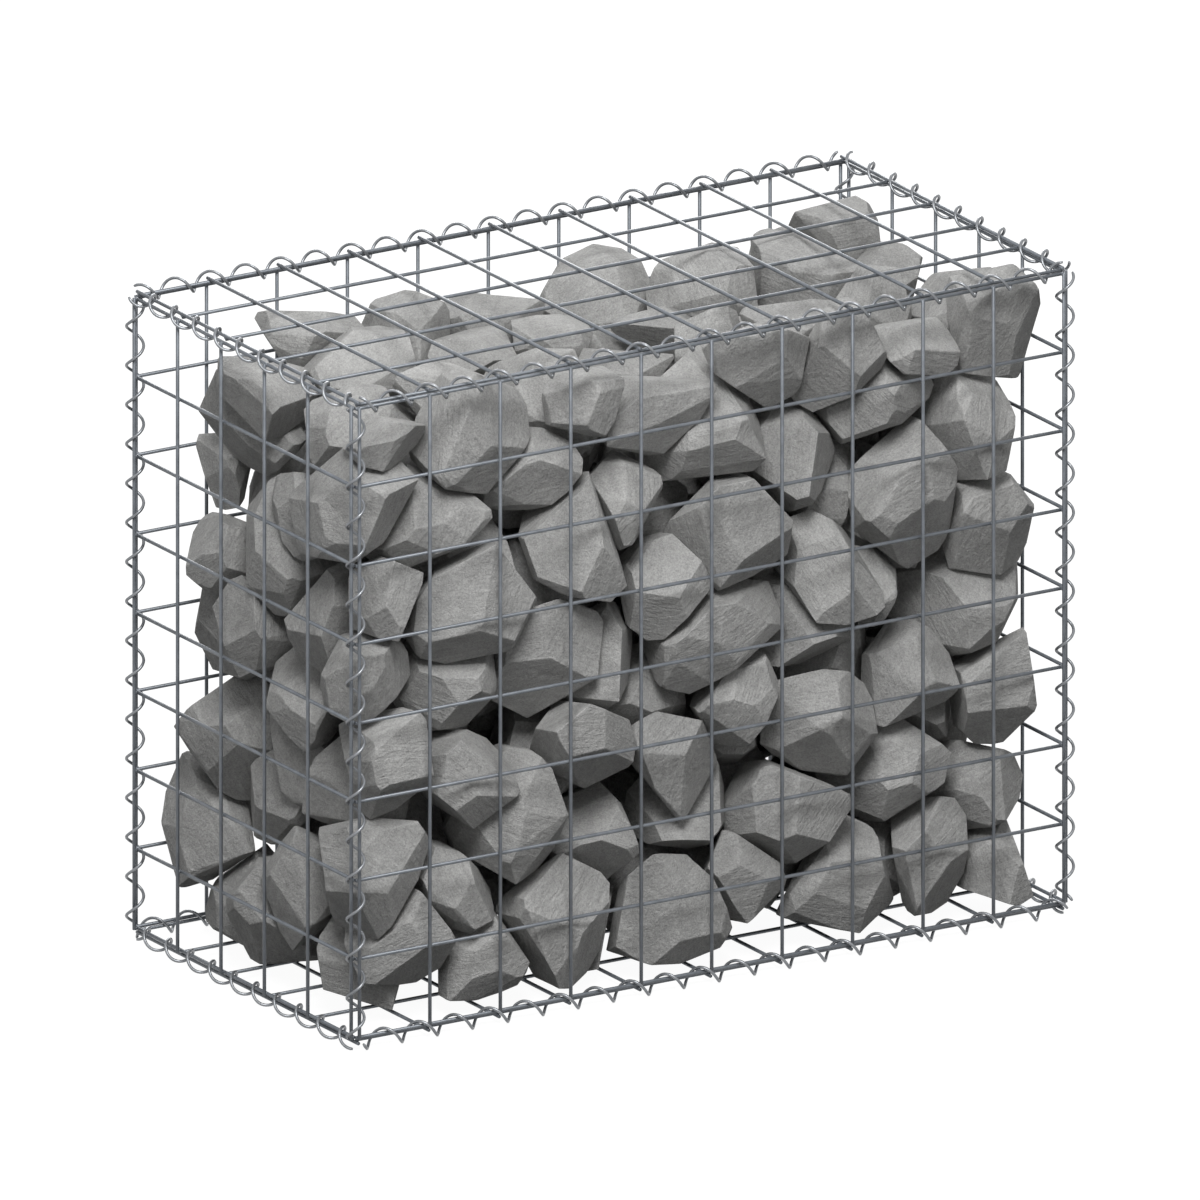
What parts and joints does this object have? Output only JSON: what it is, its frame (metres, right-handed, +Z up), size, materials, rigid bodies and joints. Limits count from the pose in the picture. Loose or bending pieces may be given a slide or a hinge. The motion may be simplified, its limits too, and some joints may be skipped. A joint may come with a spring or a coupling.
{
  "type": "stone-filled gabion basket",
  "caption": "Welded-mesh wire basket laced along its edges with spiral binders and filled with angular stone, used as a free-standing wall block.",
  "frame": {"origin": "bottom centre, on the ground under the lowest turns of the base spirals", "axes": "+X along the long side, +Y from the front to the back, +Z up"},
  "size_m": [1.0336, 0.5354, 0.833],
  "materials": {
    "mesh_wire": "galvanised",
    "spiral_wire": "bright galvanised",
    "stone": "rough broken faces"
  },
  "bodies": {
    "root": {"front_panel": "mesh_wire", "back_panel": "mesh_wire", "left_panel": "mesh_wire", "right_panel": "mesh_wire", "base_panel": "mesh_wire", "lid_panel": "mesh_wire", "spiral_top_front": "spiral_wire", "spiral_top_back": "spiral_wire", "spiral_top_left": "spiral_wire", "spiral_top_right": "spiral_wire", "spiral_base_front": "spiral_wire", "spiral_base_back": "spiral_wire", "spiral_base_left": "spiral_wire", "spiral_base_right": "spiral_wire", "spiral_corner_front_left": "spiral_wire", "spiral_corner_front_right": "spiral_wire", "spiral_corner_back_left": "spiral_wire", "spiral_corner_back_right": "spiral_wire", "stones_course_1": "stone", "stones_course_2": "stone", "stones_course_3": "stone", "stones_course_4": "stone", "stones_course_5": "stone", "stones_course_6": "stone", "stones_course_7": "stone"}
  },
  "joints": []
}
